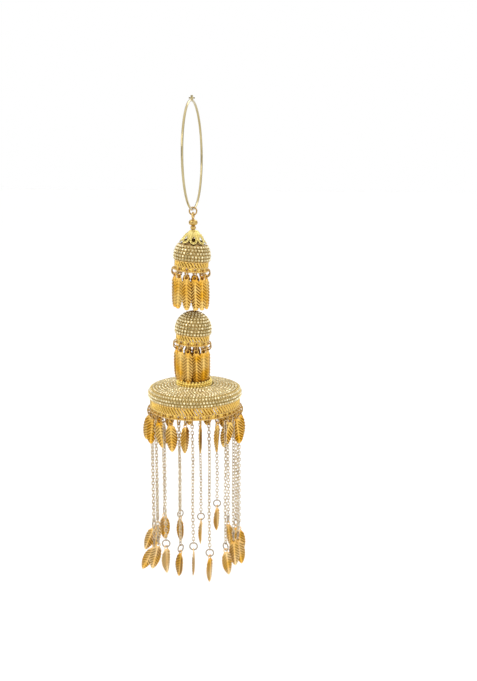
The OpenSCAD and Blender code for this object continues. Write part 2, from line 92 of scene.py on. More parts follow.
class Finish:
    """A material or a sky whose nodes all come from one method."""

    def __init__(self, name, kind="materials", shader="Principled BSDF", place="Object"):
        self.material = getattr(bpy.data, kind).new(name)
        self.material.use_nodes = True
        self.tree = self.material.node_tree
        self.surface = self.tree.nodes[shader]
        self.place = self.node("TexCoord", output=place)

    def node(self, kind, inputs=(), output=0, stops=(), **settings):
        made = self.tree.nodes.new("ShaderNode" + kind)
        for key, value in settings.items():
            setattr(made, key, value)
        if stops:
            ramp = made.color_ramp.elements
            while len(ramp) < len(stops):
                ramp.new(1.0)
            for element, (at, level) in zip(ramp, stops):
                element.position = at
                element.color = (level, level, level, 1.0)
        for key, value in dict(inputs).items():
            self.feed(made.inputs[key], value)
        return Socket(self, made.outputs[output])

    def feed(self, socket, value):
        if isinstance(value, Socket):
            self.tree.links.new(value.end, socket)
        else:
            socket.default_value = value

    def noise(self, scale, detail=3.0):
        return self.node("TexNoise", {"Vector": self.place, "Scale": scale, "Detail": detail})

    def mark(self, name):
        return self.node("Attribute", output="Fac", attribute_name=name)

    def mix(self, share, first, second):
        return self.node("Mix", {0: share, 6: first, 7: second}, 2, data_type="RGBA")

    def bump(self, height, strength, distance):
        return self.node("Bump", {"Height": height, "Strength": strength, "Distance": distance})

    def wear(self, **inputs):
        for key, value in inputs.items():
            self.feed(self.surface.inputs[key.replace("_", " ")], value)
        return self.material


plate_clouds = 260.0
plate_dents = 2600.0
dent_depth = 0.00003


def polished_gold(name, light, deep, roughness, haze=0.08, shade_ground=None):
    """Plate that drifts between two tones, with a faint haze and tumbling marks.

    Where a ground tone is given, it is painted shade: the marked sheet behind the raised work darkens to
    that tone by its mark."""
    made = Finish(name)
    drift = made.noise(plate_clouds)
    fine = made.noise(plate_dents, 5.0)
    tone = made.mix(drift, light, deep)
    return made.wear(
        Base_Color=made.mix(made.mark("recess_shade"), tone, shade_ground) if shade_ground else tone,
        Metallic=1.0,
        Roughness=(fine - 0.5) * haze + roughness,
        Normal=made.bump(fine, 0.12, dent_depth))


def dress(node, material):
    slots = nodes[node].data.materials
    slots.clear()
    slots.append(material)


hoop_gold = polished_gold("hoop gold", (0.60, 0.51, 0.29, 1), (0.38, 0.31, 0.15, 1), 0.11)
finding_gold = polished_gold("finding gold", (0.76, 0.56, 0.24, 1), (0.62, 0.40, 0.13, 1), 0.22)
ring_gold = polished_gold("ring gold", (0.60, 0.40, 0.15, 1), (0.42, 0.25, 0.07, 1), 0.20)
dress("ear_hoop", hoop_gold)
dress("jump_ring", ring_gold)
dress("center_pin", finding_gold)


# Round beads
# Two hollow brass beads, spun and polished, threaded on the pin under its eye: a wide saucer with
# a lip at each hole, and a small round one that sits on the cap.

class Form:
    """Points in millimetres and faces of a piece that is being shaped, with a mark for each point that
    weights the shade painted on it.
    """

    def __init__(self):
        self.points = []
        self.faces = []
        self.marks = []

    def add(self, points, faces, marks=None):
        first = len(self.points)
        self.points += [Vector(p) for p in points]
        self.faces += [[first + i for i in face] for face in faces]
        self.marks += marks or [0.0] * len(points)
        return self

    def join(self, other, matrix=None):
        points = [matrix @ p for p in other.points] if matrix else other.points
        return self.add(points, other.faces, other.marks)

    def turned(self, profile, steps):
        """Turns a closed profile of (radius, height) round the Z axis."""
        rows = len(profile)
        points = [(r * math.cos(2 * math.pi * k / steps), r * math.sin(2 * math.pi * k / steps), z)
                  for k in range(steps) for r, z in profile]
        faces = [[k * rows + j, (k + 1) % steps * rows + j,
                  (k + 1) % steps * rows + (j + 1) % rows, k * rows + (j + 1) % rows]
                 for k in range(steps) for j in range(rows)]
        return self.add(points, faces)

    def wire(self, path, radius, sides=8, closed=True):
        """Sweeps a round wire along points, and closes its ends where the path is open."""
        count = len(path)
        path = [Vector(p) for p in path]
        across = None
        points = []
        for i, here in enumerate(path):
            ahead = path[(i + 1) % count] if closed or i < count - 1 else here
            behind = path[i - 1] if closed or i > 0 else here
            along = (ahead - behind).normalized()
            if across is None:
                across = along.orthogonal()
            across = (across - along * across.dot(along)).normalized()
            side = along.cross(across)
            for k in range(sides):
                a = 2 * math.pi * k / sides
                points.append(here + (across * math.cos(a) + side * math.sin(a)) * radius)
        laps = count if closed else count - 1
        faces = [[i * sides + k, i * sides + (k + 1) % sides,
                  (i + 1) % count * sides + (k + 1) % sides, (i + 1) % count * sides + k]
                 for i in range(laps) for k in range(sides)]
        if not closed:
            faces.append(list(range(sides))[::-1])
            faces.append([(count - 1) * sides + k for k in range(sides)])
        return self.add(points, faces)

    def plate(self, points, faces, thickness, marks=None):
        """Gives a sheet its thickness, half to each side, and closes it all round."""
        sheet = bpy.data.meshes.new("sheet")
        sheet.from_pydata([tuple(p) for p in points], [], faces)
        normals = [v.normal.copy() for v in sheet.vertices]
        bpy.data.meshes.remove(sheet)
        count = len(points)
        used = {}
        for face in faces:
            for a, b in zip(face, face[1:] + face[:1]):
                used[(a, b)] = True
        rim = [(a, b) for a, b in used if (b, a) not in used]
        front = [Vector(p) + n * (thickness / 2) for p, n in zip(points, normals)]
        back = [Vector(p) - n * (thickness / 2) for p, n in zip(points, normals)]
        walls = [[b, a, count + a, count + b] for a, b in rim]
        behind = [[count + i for i in reversed(face)] for face in faces]
        return self.add(front + back, faces + behind + walls, marks * 2 if marks else None)

    def mesh(self, name, material, matrix=None):
        """A smooth mesh in millimetres whose closed parts all face outwards."""
        made = bpy.data.meshes.new(name)
        made.from_pydata([tuple(p) for p in self.points], [], self.faces)
        # The marks become a point attribute that the finishes read to paint shade into grooves and onto
        # sunk sheet.
        made.attributes.new("recess_shade", "FLOAT", "POINT").data.foreach_set("value", self.marks)
        made.shade_smooth()
        made.materials.append(material)
        if matrix:
            made.transform(matrix)
        shape = bmesh.new()
        shape.from_mesh(made)
        bmesh.ops.recalc_face_normals(shape, faces=shape.faces)
        shape.to_mesh(made)
        shape.free()
        return made


def finish_piece(name, meshes, body, slot, *stands_for, matrix=None):
    """Joins meshes in millimetres into one piece in metres, and hands it to the frame."""
    parts = []
    for mesh in meshes:
        part = bpy.data.objects.new(name, mesh)
        bpy.context.scene.collection.objects.link(part)
        parts.append(part)
    if len(parts) > 1:
        with bpy.context.temp_override(active_object=parts[0], selected_editable_objects=parts):
            bpy.ops.object.join()
    piece = parts[0]
    piece.name = name
    piece.data.name = name
    piece.data.transform(Matrix.Scale(0.001, 4) @ (matrix or Matrix.Identity(4)))
    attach(piece, body)
    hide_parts(*stands_for)


def box_mm(node):
    low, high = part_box(node)
    return low * 1000, high * 1000


bead_hole_r = 0.6
belly_reach = 72
belly_roundness = 0.8


def bead(node, lip_r):
    """A saucer-like bead with a small round lip at each end of its hole."""
    low, high = box_mm(node)
    wide = (high.x - low.x) / 2
    half = (high.z - low.z) / 2
    lip_middle_r = bead_hole_r + lip_r
    belly = [math.radians(a) for a in range(-belly_reach, belly_reach + 1, 12)]
    outside = [(lip_middle_r + (wide - lip_middle_r) * math.cos(a) ** belly_roundness,
                (half - lip_r) * math.sin(a) / math.sin(belly[-1])) for a in belly]
    lip = [(lip_middle_r + lip_r * math.cos(a), half - lip_r + lip_r * math.sin(a))
           for a in (math.radians(b) for b in (10, 50, 90, 130, 175))]
    form = Form().turned(outside + lip + [(r, -z) for r, z in reversed(lip)], 64)
    middle = Matrix.Translation((0, 0, (low.z + high.z) / 2))
    finish_piece(node + "_metal", [form.mesh(node, bead_gold, middle)], "drop", "gold_findings", node)


bead_gold = polished_gold("bead gold", (0.68, 0.49, 0.19, 1), (0.48, 0.30, 0.08, 1), 0.14)
bead("round_bead", lip_r=0.3)
bead("small_bead", lip_r=0.2)


# Petal cap
# A flower of eight pierced petals, stamped from thin sheet and domed over the first dome. Each
# petal is edged with wire, has a drop-shaped opening, and a line of gold grains between the two.

upper_lean = math.radians(5)
lower_lean = math.radians(4)
ring_centre_down = 7.65


def dome_axes(rings, lean):
    """The dome's own axes in millimetres: its ring row hangs a known way below its centre."""
    low, high = box_mm(rings)
    return (Matrix.Translation((low + high) / 2) @ Matrix.Rotation(lean, 4, "Y")
            @ Matrix.Translation((0, 0, ring_centre_down)))


upper_axes = dome_axes("upper_leaf_rings", upper_lean)
lower_axes = dome_axes("lower_leaf_rings", lower_lean)


def circle(radius, z, steps, start=0.0):
    """Points at even steps round the Z axis, at one height."""
    turns = [start + 2 * math.pi * k / steps for k in range(steps)]
    return [(radius * math.cos(a), radius * math.sin(a), z) for a in turns]


def ball(radius, sides=8, rows=5):
    """A small grain of metal, closed at both poles."""
    points = [(0, 0, radius)]
    for j in range(1, rows):
        a = math.pi * j / rows
        points += circle(radius * math.sin(a), radius * math.cos(a), sides)
    points.append((0, 0, -radius))
    last = len(points) - 1
    faces = [[0, 1 + k, 1 + (k + 1) % sides] for k in range(sides)]
    for j in range(rows - 2):
        at = 1 + j * sides
        faces += [[at + k, at + sides + k, at + sides + (k + 1) % sides, at + (k + 1) % sides]
                  for k in range(sides)]
    at = last - sides
    faces += [[last, at + (k + 1) % sides, at + k] for k in range(sides)]
    return Form().add(points, faces)


cap_r = 6.0
cap_top_r = 1.35
cap_h = 6.1
cap_up = 5.8
cap_slope = math.atan2(cap_r - cap_top_r, cap_h)
cap_roundness = 0.72
cap_petals = 8
petal_turn = math.radians(16.5)
petal_start = 0.03
petal_shoulder = 0.42
petal_end_roundness = 2.2
petal_reach = 0.92
petal_bulge = 0.3
petal_flare = 0.35
petal_sink = 0.2
petal_sheet = 0.35
petal_edge_wire = 0.24
petal_wire_up = 0.1
petal_grain = 0.27
petal_grain_up = 0.22
hole_middle = 0.64
hole_long = 0.23
hole_wide = 0.52
hole_drop = 0.3
hole_stretch = 2.2
hole_wire = 0.17
crown_middle_r = cap_top_r - 0.1
crown_down = 0.3
crown_wide = 0.45
crown_thick = 0.35


def on_cap(petal, s, t, lift):
    """A place on a petal: s runs down it, t across it, and lift is away from the cap."""
    down = petal_start + (1 - petal_start) * s
    turn = petal_turn + 2 * math.pi * (petal + t / 2) / cap_petals
    crown = (petal_bulge * max(0.0, 1 - t * t) * math.sin(math.pi * min(1.0, s)) + lift
             + petal_flare * s ** 4 - petal_sink)
    r = cap_top_r + (cap_r - cap_top_r) * down ** cap_roundness + crown * math.cos(cap_slope)
    return Vector((r * math.cos(turn), r * math.sin(turn),
                   cap_h * (1 - down) + crown * math.sin(cap_slope)))


def petal_width(s):
    past_shoulder = max(0.0, (s - petal_shoulder) / (1 - petal_shoulder))
    return petal_reach * math.sqrt(max(0.0, 1 - past_shoulder ** petal_end_roundness))


petal_sides = [k / 12 for k in range(13)]
petal_outline = [(s, petal_width(s)) for s in petal_sides]
petal_outline += [(s, -petal_width(s)) for s in reversed(petal_sides[:-1])]


def petal_ring(share):
    """The outline at share 1, the drop-shaped opening at share 0, and the way between."""
    ring = []
    for s, t in petal_outline:
        a = math.atan2(t, (s - hole_middle) * hole_stretch)
        edge_s = hole_middle + hole_long * math.cos(a)
        edge_t = hole_wide * math.sin(a) * (1 + hole_drop * math.cos(a))
        ring.append((edge_s + (s - edge_s) * share, edge_t + (t - edge_t) * share))
    return ring


cap = Form()
grain = ball(petal_grain)
petal_laps = 5
petal_rings = [petal_ring(k / petal_laps) for k in range(petal_laps + 1)]
around = len(petal_outline)
petal_faces = [[j * around + k, (j + 1) * around + k, (j + 1) * around + (k + 1) % around,
                j * around + (k + 1) % around] for j in range(petal_laps) for k in range(around)]
# Painted shade on each petal's sheet behind its wires and grains: none near the crown, growing darker
# down the petal.
petal_painted_shade = [min(1.0, 1.5 * s) ** 2 for ring in petal_rings for s, t in ring]
for petal in range(cap_petals):
    sheet = [on_cap(petal, s, t, 0) for ring in petal_rings for s, t in ring]
    cap.plate(sheet, petal_faces, petal_sheet, petal_painted_shade)
    cap.wire([on_cap(petal, s, t, petal_wire_up) for s, t in petal_rings[-1]], petal_edge_wire)
    cap.wire([on_cap(petal, s, t, petal_wire_up) for s, t in petal_rings[0]], hole_wire, 6)
    for s, t in petal_ring(0.5)[2:-1:2]:
        cap.join(grain, Matrix.Translation(on_cap(petal, s, t, petal_grain_up)))
cap.turned([(crown_middle_r + crown_wide * math.cos(a), cap_h - crown_down + crown_thick * math.sin(a))
            for a in (2 * math.pi * k / 12 for k in range(12))], 48)
# The cap's dark ground tone is painted shade on the petal sheet between the bright wires and grains.
cap_gold = polished_gold("cap gold", (0.92, 0.82, 0.36, 1), (0.76, 0.58, 0.16, 1), 0.18,
                         shade_ground=(0.28, 0.18, 0.04, 1))
cap_seat = upper_axes @ Matrix.Translation((0, 0, cap_up))
finish_piece("petal_cap_flower", [cap.mesh("cap", cap_gold, cap_seat)], "drop", "bright_gold_cap",
             "petal_cap")


# Domes
# Each is a spun brass bell, drilled at its top for the pin, with a gallery soldered below it: three
# grained wires, slanting bars between the upper two, and a drilled strip that takes the leaf rings.

dome_r = 7.9
dome_wall = 0.6
dome_mid_r = dome_r - dome_wall / 2
dome_skirt = 2.3
dome_band = 4.5
dome_leaves = 12
pin_hole_r = 0.8
strip_high = 1.9
strip_sheet = 0.5
ring_hole_r = 0.55
ring_hole_up = 1.0
ring_hole_cell = 1.9
edge_wire = 0.4
middle_wire = 0.28
grain_r = 0.34
edge_grain_out = 0.3
middle_grain_out = 0.15
bar_wide = 1.15
bar_thick = 0.9
bar_lean = math.radians(32)
facing_out = math.pi / 2


class Growth:
    """A Geometry Nodes tree with named sizes, which ends in realized copies in one finish."""

    def __init__(self, name, **sizes):
        self.tree = bpy.data.node_groups.new(name, "GeometryNodeTree")
        self.tree.interface.new_socket("Geometry", in_out="INPUT", socket_type="NodeSocketGeometry")
        self.tree.interface.new_socket("Geometry", in_out="OUTPUT", socket_type="NodeSocketGeometry")
        for size, kind in sizes.items():
            self.tree.interface.new_socket(size, in_out="INPUT", socket_type="NodeSocket" + kind)
        self.start = self.tree.nodes.new("NodeGroupInput")
        self.end = self.tree.nodes.new("NodeGroupOutput")

    def size(self, name):
        return self.start.outputs[name]

    def node(self, kind, inputs=(), output=0, **settings):
        made = self.tree.nodes.new(kind)
        for key, value in settings.items():
            setattr(made, key, value)
        for key, value in dict(inputs).items():
            if isinstance(value, bpy.types.NodeSocket):
                self.tree.links.new(value, made.inputs[key])
            else:
                made.inputs[key].default_value = value
        return made.outputs[output]

    def ends_in(self, spots, turns, seed):
        """Sets the thing on its spots, tints each copy by chance, and realizes all in their finish."""
        thing = self.node("GeometryNodeObjectInfo", {"Object": self.size("Thing"), "As Instance": True},
                          "Geometry")
        copies = self.node("GeometryNodeInstanceOnPoints",
                           {"Points": spots, "Instance": thing, "Rotation": turns})
        tint = self.node("FunctionNodeRandomValue", {2: 0.0, 3: 1.0, "Seed": seed}, 1,
                         data_type="FLOAT")
        tinted = self.node("GeometryNodeStoreNamedAttribute",
                           {"Geometry": copies, "Name": "tint", 3: tint}, data_type="FLOAT",
                           domain="INSTANCE")
        solid = self.node("GeometryNodeRealizeInstances", {0: tinted})
        dressed = self.node("GeometryNodeSetMaterial", {0: solid, "Material": self.size("Finish")})
        self.tree.links.new(dressed, self.end.inputs[0])

    def grow(self, base, **sizes):
        """Runs the tree on a mesh, and returns the result as a plain mesh."""
        grower = bpy.data.objects.new("grower", base)
        bpy.context.scene.collection.objects.link(grower)
        modifier = grower.modifiers.new("growth", "NODES")
        modifier.node_group = self.tree
        for item in self.tree.interface.items_tree:
            if item.in_out == "INPUT" and item.name in sizes:
                modifier[item.identifier] = sizes[item.name]
        graph = bpy.context.evaluated_depsgraph_get()
        made = bpy.data.meshes.new_from_object(grower.evaluated_get(graph), depsgraph=graph)
        grower.modifiers.remove(modifier)
        bpy.data.objects.remove(grower)
        return made


def rows_tree():
    """Sets one thing along rows: upright on each row's tilt, and turned round the Z axis."""
    g = Growth("rows round an axis", Thing="Object", Pitch="Float", Turn="Float", Finish="Material")
    curve = g.node("GeometryNodeMeshToCurve", {0: g.size("Geometry")})
    spots = g.node("GeometryNodeResampleCurve", {"Curve": curve, "Length": g.size("Pitch")},
                   mode="LENGTH")
    place = g.node("GeometryNodeInputPosition")
    split = g.tree.nodes.new("ShaderNodeSeparateXYZ")
    g.tree.links.new(place, split.inputs[0])
    turn = g.node("ShaderNodeMath", {0: split.outputs[1], 1: split.outputs[0]}, operation="ARCTAN2")
    tilt = g.node("GeometryNodeInputNamedAttribute", {"Name": "tilt"}, data_type="FLOAT")
    upright = g.node("FunctionNodeEulerToRotation", {
        0: g.node("ShaderNodeCombineXYZ", {"Y": tilt, "Z": turn})})
    sway = g.node("FunctionNodeRandomValue", {2: -1.0, 3: 1.0, "Seed": 7}, 1, data_type="FLOAT")
    spin = g.node("ShaderNodeMath", {0: sway, 1: g.size("Turn")}, operation="MULTIPLY")
    own = g.node("FunctionNodeEulerToRotation", {0: g.node("ShaderNodeCombineXYZ", {"Z": spin})})
    turned = g.node("FunctionNodeRotateRotation", {0: upright, 1: own}, rotation_space="LOCAL")
    g.ends_in(spots, turned, 11)
    return g


set_in_rows = rows_tree()
chance = random.Random(5)
row_steps = 120


def row_loops(rows):
    """Circles of (radius, height, tilt), each with its own starting place and its tilt noted."""
    made = bpy.data.meshes.new("rows")
    points, edges, tilts = [], [], []
    for r, z, tilt in rows:
        first = len(points)
        points += circle(r, z, row_steps, chance.uniform(0, 2 * math.pi))
        edges += [(first + k, first + (k + 1) % row_steps) for k in range(row_steps)]
        tilts += [tilt] * row_steps
    made.from_pydata(points, edges, [])
    made.attributes.new("tilt", "FLOAT", "POINT").data.foreach_set("value", tilts)
    return made


def in_rows(rows, form, pitch, material, turn=0.0, flat=False):
    """Copies of one form along rows, as one mesh in millimetres."""
    thing = bpy.data.objects.new("thing", form.mesh("thing", material))
    if flat:
        thing.data.shade_flat()
    bpy.context.scene.collection.objects.link(thing)
    made = set_in_rows.grow(row_loops(rows), Thing=thing, Pitch=pitch, Turn=turn, Finish=material)
    bpy.data.objects.remove(thing)
    return made


def slanting_bar(drop):
    """A flat bar with rounded faces; x is down, y is along the row and z is outwards."""
    along = Vector((math.cos(bar_lean), math.sin(bar_lean), 0))
    side = Vector((-along.y, along.x, 0))
    stations = [along * (drop / math.cos(bar_lean) * share) for share in (-0.5, -0.25, 0.0, 0.25, 0.5)]
    form = Form().wire(stations, 0.5, 6, closed=False)
    form.points = [along * p.dot(along) + side * (p.dot(side) * bar_wide)
                   + Vector((0, 0, p.z * bar_thick)) for p in form.points]
    return form


def holed_strip(form, radius, low, high, turns):
    """A strip round the axis: a square cell with a drilled hole at each turn, and plain sheet between."""
    wide = ring_hole_cell / radius
    around = 16
    ways = [2 * math.pi * (k + 0.5) / around for k in range(around)]
    cell_faces = [[k, around + k, around + (k + 1) % around, (k + 1) % around]
                  for k in range(around)]
    for turn, ahead in zip(turns, turns[1:] + [turns[0] + 2 * math.pi]):
        hole = [(turn + ring_hole_r / radius * math.cos(a),
                 low + ring_hole_up + ring_hole_r * math.sin(a)) for a in ways]
        edge = []
        for a in ways:
            reach = 0.5 / max(abs(math.cos(a)), abs(math.sin(a)))
            edge.append((turn + math.cos(a) * reach * wide,
                         (low + high) / 2 + math.sin(a) * reach * (high - low)))
        cell = [(radius * math.cos(a), radius * math.sin(a), z) for a, z in hole + edge]
        form.plate(cell, cell_faces, strip_sheet)
        start, stop = turn + wide / 2, ahead - wide / 2
        steps = max(2, round((stop - start) * radius))
        sheet = []
        for k in range(steps + 1):
            a = start + (stop - start) * k / steps
            sheet += [(radius * math.cos(a), radius * math.sin(a), z) for z in (low, high)]
        form.plate(sheet, [[2 * k, 2 * k + 2, 2 * k + 3, 2 * k + 1] for k in range(steps)],
                   strip_sheet)


def arc(x, z, r, start, stop, steps):
    """Points of (radius, height) along an arc, in degrees from the level."""
    turns = [math.radians(start + (stop - start) * k / steps) for k in range(steps + 1)]
    return [(x + r * math.cos(a), z + r * math.sin(a)) for a in turns]


# The bells and the pan are painted dark, as the shade seen between the stones, inside the collar and
# through the gallery.
shell_shade_gold = polished_gold("shell gold", (0.44, 0.31, 0.14, 1), (0.32, 0.20, 0.07, 1), 0.34)
band_gold = polished_gold("band gold", (0.86, 0.61, 0.17, 1), (0.67, 0.40, 0.07, 1), 0.26, haze=0.12)
grain_gold = polished_gold("grain gold", (0.88, 0.68, 0.34, 1), (0.76, 0.54, 0.20, 1), 0.22)


def gallery(radius, low, high, turns, laps, bar_pitch, grain_pitch):
    """Three grained wires, with slanting bars above the middle one and a drilled strip below it."""
    strip_top = low + strip_high
    band = Form()
    for z, wire in ((high, edge_wire), (strip_top, middle_wire), (low, edge_wire)):
        band.wire(circle(radius, z, laps), wire)
    holed_strip(band, radius, low, strip_top, turns)
    bars = in_rows([(radius, (strip_top + high) / 2, facing_out)], slanting_bar(high - strip_top),
                   bar_pitch, band_gold)
    grain_rows = [(radius + out, z, facing_out) for out, z in (
        (edge_grain_out, high), (middle_grain_out, strip_top), (edge_grain_out, low))]
    grains = in_rows(grain_rows, ball(grain_r, 7, 4), grain_pitch, grain_gold)
    return [band.mesh("band", band_gold), bars, grains]


def bell_side(r):
    """The bell's side from the pin's hole down to the foot of its skirt."""
    return arc(0, 0, r, math.degrees(math.acos(pin_hole_r / r)), 0, 16) + [(r, -dome_skirt)]


def dome(node, axes):
    shell = Form().turned(bell_side(dome_r) + bell_side(dome_r - dome_wall)[::-1], 72)
    turns = [2 * math.pi * i / dome_leaves for i in range(dome_leaves)]
    band = gallery(dome_mid_r, -dome_skirt - dome_band, -dome_skirt, turns, laps=96, bar_pitch=1.5,
                   grain_pitch=0.8)
    finish_piece(node + "_metal", [shell.mesh("shell", shell_shade_gold)] + band, "drop", "gold_bands", node,
                 matrix=axes)


dome("upper_dome", upper_axes)
dome("lower_dome", lower_axes)


# Stones
# Small champagne glass stones with a flat table and rings of facets, foiled behind, each closed
# into a round brass cup with four grains. The cups stand in rows, soldered side by side.

stone_pitch = 1.5
stone_row_half = 0.625
stone_row_gap = 0.1
stone_turn = 0.6
stone_high = 0.9
stone_r = 0.56
table_r = 0.33
girdle_z = stone_high * 0.56
star_r = table_r + 0.45 * (stone_r - table_r)
star_z = girdle_z + (stone_high - girdle_z) * 0.62
stone_foot = 0.2
cup_r = 0.68
cup_grain_r = 0.19
cup_grain_out = 0.72
cup_grain_up = 0.58
stones_under_cap = math.radians(55.3)
stones_round_pin = math.radians(15)
wedge_out = 0.5
wedge_pitch = 0.9


def cut_stone():
    """Table, eight star facets, eight kites, sixteen girdle facets and a point that the cup hides."""
    points = circle(table_r, stone_high, 8) + circle(star_r, star_z, 8, math.pi / 8)
    points += circle(stone_r, girdle_z, 16) + [(0, 0, stone_foot)]
    faces = [list(range(8))]
    for k in range(8):
        n = (k + 1) % 8
        faces += [[k, 8 + k, n], [k, 8 + (k - 1) % 8, 16 + 2 * k, 8 + k],
                  [8 + k, 16 + 2 * k, 16 + 2 * k + 1], [8 + k, 16 + 2 * k + 1, 16 + 2 * n]]
    faces += [[32, 16 + (k + 1) % 16, 16 + k] for k in range(16)]
    return Form().add(points, faces)


def stone_cup():
    """A short turned cup, with the four grains round it that hold the stone."""
    form = Form().turned([(cup_r * 0.8, 0), (cup_r, 0.35), (cup_r - 0.02, 0.62), (cup_r - 0.14, 0.6),
                          (cup_r - 0.2, 0.3)], 10)
    for place in circle(cup_grain_out, cup_grain_up, 4, math.pi / 4):
        form.join(ball(cup_grain_r, 5, 3), Matrix.Translation(place))
    return form


def champagne_stone():
    """Foiled glass: pale straw and grey stones among warmer ones, with a hard clear face."""
    made = Finish("champagne stone")
    tint = made.mark("tint")
    paleness = made.node("ValToRGB", {0: tint}, stops=((0.0, 0.0), (0.55, 0.35), (0.9, 1.0)))
    return made.wear(
        Base_Color=made.mix(paleness, (0.52, 0.42, 0.20, 1), (0.96, 0.87, 0.58, 1)),
        Metallic=0.82,
        Roughness=tint * 0.08 + 0.1,
        Coat_Weight=1.0)


stone_glass = champagne_stone()
cup_gold = polished_gold("cup gold", (0.80, 0.63, 0.29, 1), (0.62, 0.45, 0.16, 1), 0.26)
loose_stone = cut_stone()
loose_cup = stone_cup()


def stone_field(node, rows, axes=None, wedges=()):
    """Rows of stones, cups that draw the same starting places, and grains in the wedges between."""
    seats = chance.getstate()
    stones = in_rows(rows, loose_stone, stone_pitch, stone_glass, stone_turn, flat=True)
    chance.setstate(seats)
    meshes = [in_rows(rows, loose_cup, stone_pitch, cup_gold), stones]
    if wedges:
        meshes.append(in_rows(wedges, ball(grain_r, 7, 4), wedge_pitch, cup_gold))
    finish_piece(node + "_set", meshes, "drop", "champagne_stones", node, matrix=axes)


def dome_stone_rows(top_turn):
    """The skirt's row, then rows from just above the bell's widest place up to the given angle."""
    seat_r = dome_r + stone_row_gap
    rows = [(seat_r, -dome_skirt + edge_wire + stone_row_half + stone_row_gap, facing_out)]
    step = stone_pitch / (dome_r + stone_high / 2)
    turn = facing_out - step / 5
    while turn >= top_turn:
        rows.append((seat_r * math.sin(turn), seat_r * math.cos(turn), turn))
        turn -= step
    return rows


stone_field("upper_dome_stones", dome_stone_rows(stones_under_cap), upper_axes)
stone_field("lower_dome_stones", dome_stone_rows(stones_round_pin), lower_axes)


# Leaves
# Stamped brass leaves with a midrib, slanting veins and a toothed edge, cupped by the stamping and
# plated in a deep orange gold. A soldered loop at the stem hangs each from its ring.

leaf_sheet = 0.3
leaf_end = 0.004
leaf_vein_pitch = 1.45
leaf_vein_slope = math.tan(math.radians(42))
leaf_vein_high = 0.34
leaf_vein_start = 0.45
leaf_vein_sharp = 1.2
leaf_rib_half = 0.3
leaf_rib_high = 1.25 * leaf_vein_high
leaf_tooth = 0.15
leaf_belly_up = 0.85
leaf_stem_sharp = 0.55
curl_middle = 0.35
curl_depth = 1.6
tip_start = 0.6
loop_r = 0.98
loop_wire = 0.23
leaf_hole_r = 0.75
leaf_rows = 60
leaf_columns = 7


def leaf_half(s, wide, sharp):
    """Half a leaf's width at a share of its length; it is sharper at the tip than at the stem."""
    power = sharp * (leaf_stem_sharp + (1 - leaf_stem_sharp) * s)
    return wide / 2 * math.sin(math.pi * min(1.0, s) ** leaf_belly_up) ** power


def leaf(length, wide, sharp, cup, curl, twist, tip=0.0, stamp=1.0):
    """One leaf in millimetres that hangs from the middle of its loop and faces +X.

    It is cupped across, curled along, bent in at its tip and twisted by an angle in radians. Its
    veins fade at the stem, the tip and the midrib, and a worn stamp, below 1, leaves them shallow."""
    form = Form()
    body = length - leaf_hole_r
    points, marks = [], []
    columns = 2 * leaf_columns
    for i in range(leaf_rows + 1):
        s = leaf_end + (1 - 2 * leaf_end) * i / leaf_rows
        down = s * body
        plain_half = leaf_half(s, wide, sharp)
        at_edge = (down - plain_half * leaf_vein_slope) / leaf_vein_pitch
        half = plain_half * (1 - leaf_tooth * (0.5 - 0.5 * math.cos(2 * math.pi * at_edge)))
        for j in range(columns + 1):
            q = j / leaf_columns - 1
            across = q * half
            wave = (down - abs(across) * leaf_vein_slope) / leaf_vein_pitch
            ridge = (0.5 + 0.5 * math.cos(2 * math.pi * wave)) ** leaf_vein_sharp
            fade = min(1.0, 6 * s, 8 * (1 - s)) * min(1.0, abs(across) / leaf_vein_start)
            rib = math.exp(-(across / leaf_rib_half) ** 2) * min(1.0, 5 * (1 - s))
            high = leaf_vein_high * ridge * fade * stamp + leaf_rib_high * rib
            bend = (-cup * q * q * math.sin(math.pi * s) - curl * (s - curl_middle) ** 2 * curl_depth
                    - tip * (max(0.0, s - tip_start) / (1 - tip_start)) ** 2)
            angle = twist * s
            points.append(Vector((bend + high + across * math.sin(angle), across * math.cos(angle),
                                  -leaf_hole_r - down)))
            # The mark is how deep in a vein groove the point lies, and weights the shade painted there.
            marks.append(min(1.0, 1.5 * (1 - ridge)) * fade * (1 - rib) * stamp)
    row = columns + 1
    faces = [[i * row + j, (i + 1) * row + j, (i + 1) * row + j + 1, i * row + j + 1]
             for i in range(leaf_rows) for j in range(columns)]
    form.plate(points, faces, leaf_sheet, marks)
    form.wire([(0, loop_r * math.cos(a), loop_r * math.sin(a))
               for a in (2 * math.pi * k / 20 for k in range(20))], loop_wire, 6)
    return form


leaf_clouds = 150.0
leaf_cloud_contrast = 3.5
leaf_dents = 3200.0


def deep_leaf_gold(name, light, deep, recess_shade):
    """Satin plate, orange where it is thick, with its grooves painted dark brown, mostly as shade in the
    hollows and partly as antique browning, and its ridges left bright in the plate's own tone.
    """
    made = Finish(name)
    # The groove mark weights painted shade: the darkest tone goes where the grooves are deepest.
    low = made.mark("recess_shade")
    drift = (made.noise(leaf_clouds, 1.0) - 0.5) * leaf_cloud_contrast + 0.5
    fine = made.noise(leaf_dents, 5.0)
    body = made.mix(drift, light, deep)
    return made.wear(
        Base_Color=made.mix(low, body, recess_shade),
        Metallic=1.0,
        Roughness=low * 0.14 + (fine - 0.5) * 0.12 + 0.27,
        Normal=made.bump(fine, 0.18, 0.00004))


# The third tone of each leaf gold is the painted shade in the grooves.
leaf_gold = deep_leaf_gold("leaf gold", (1.0, 0.67, 0.20, 1), (0.90, 0.45, 0.025, 1),
                           (0.17, 0.06, 0.004, 1))
pale_leaf_gold = deep_leaf_gold("pale leaf gold", (1.0, 0.73, 0.36, 1), (0.90, 0.50, 0.07, 1),
                                (0.22, 0.10, 0.015, 1))
dome_leaf_length = 14.8
dome_leaf_wide = 5.0
leaf_hang = 3.8

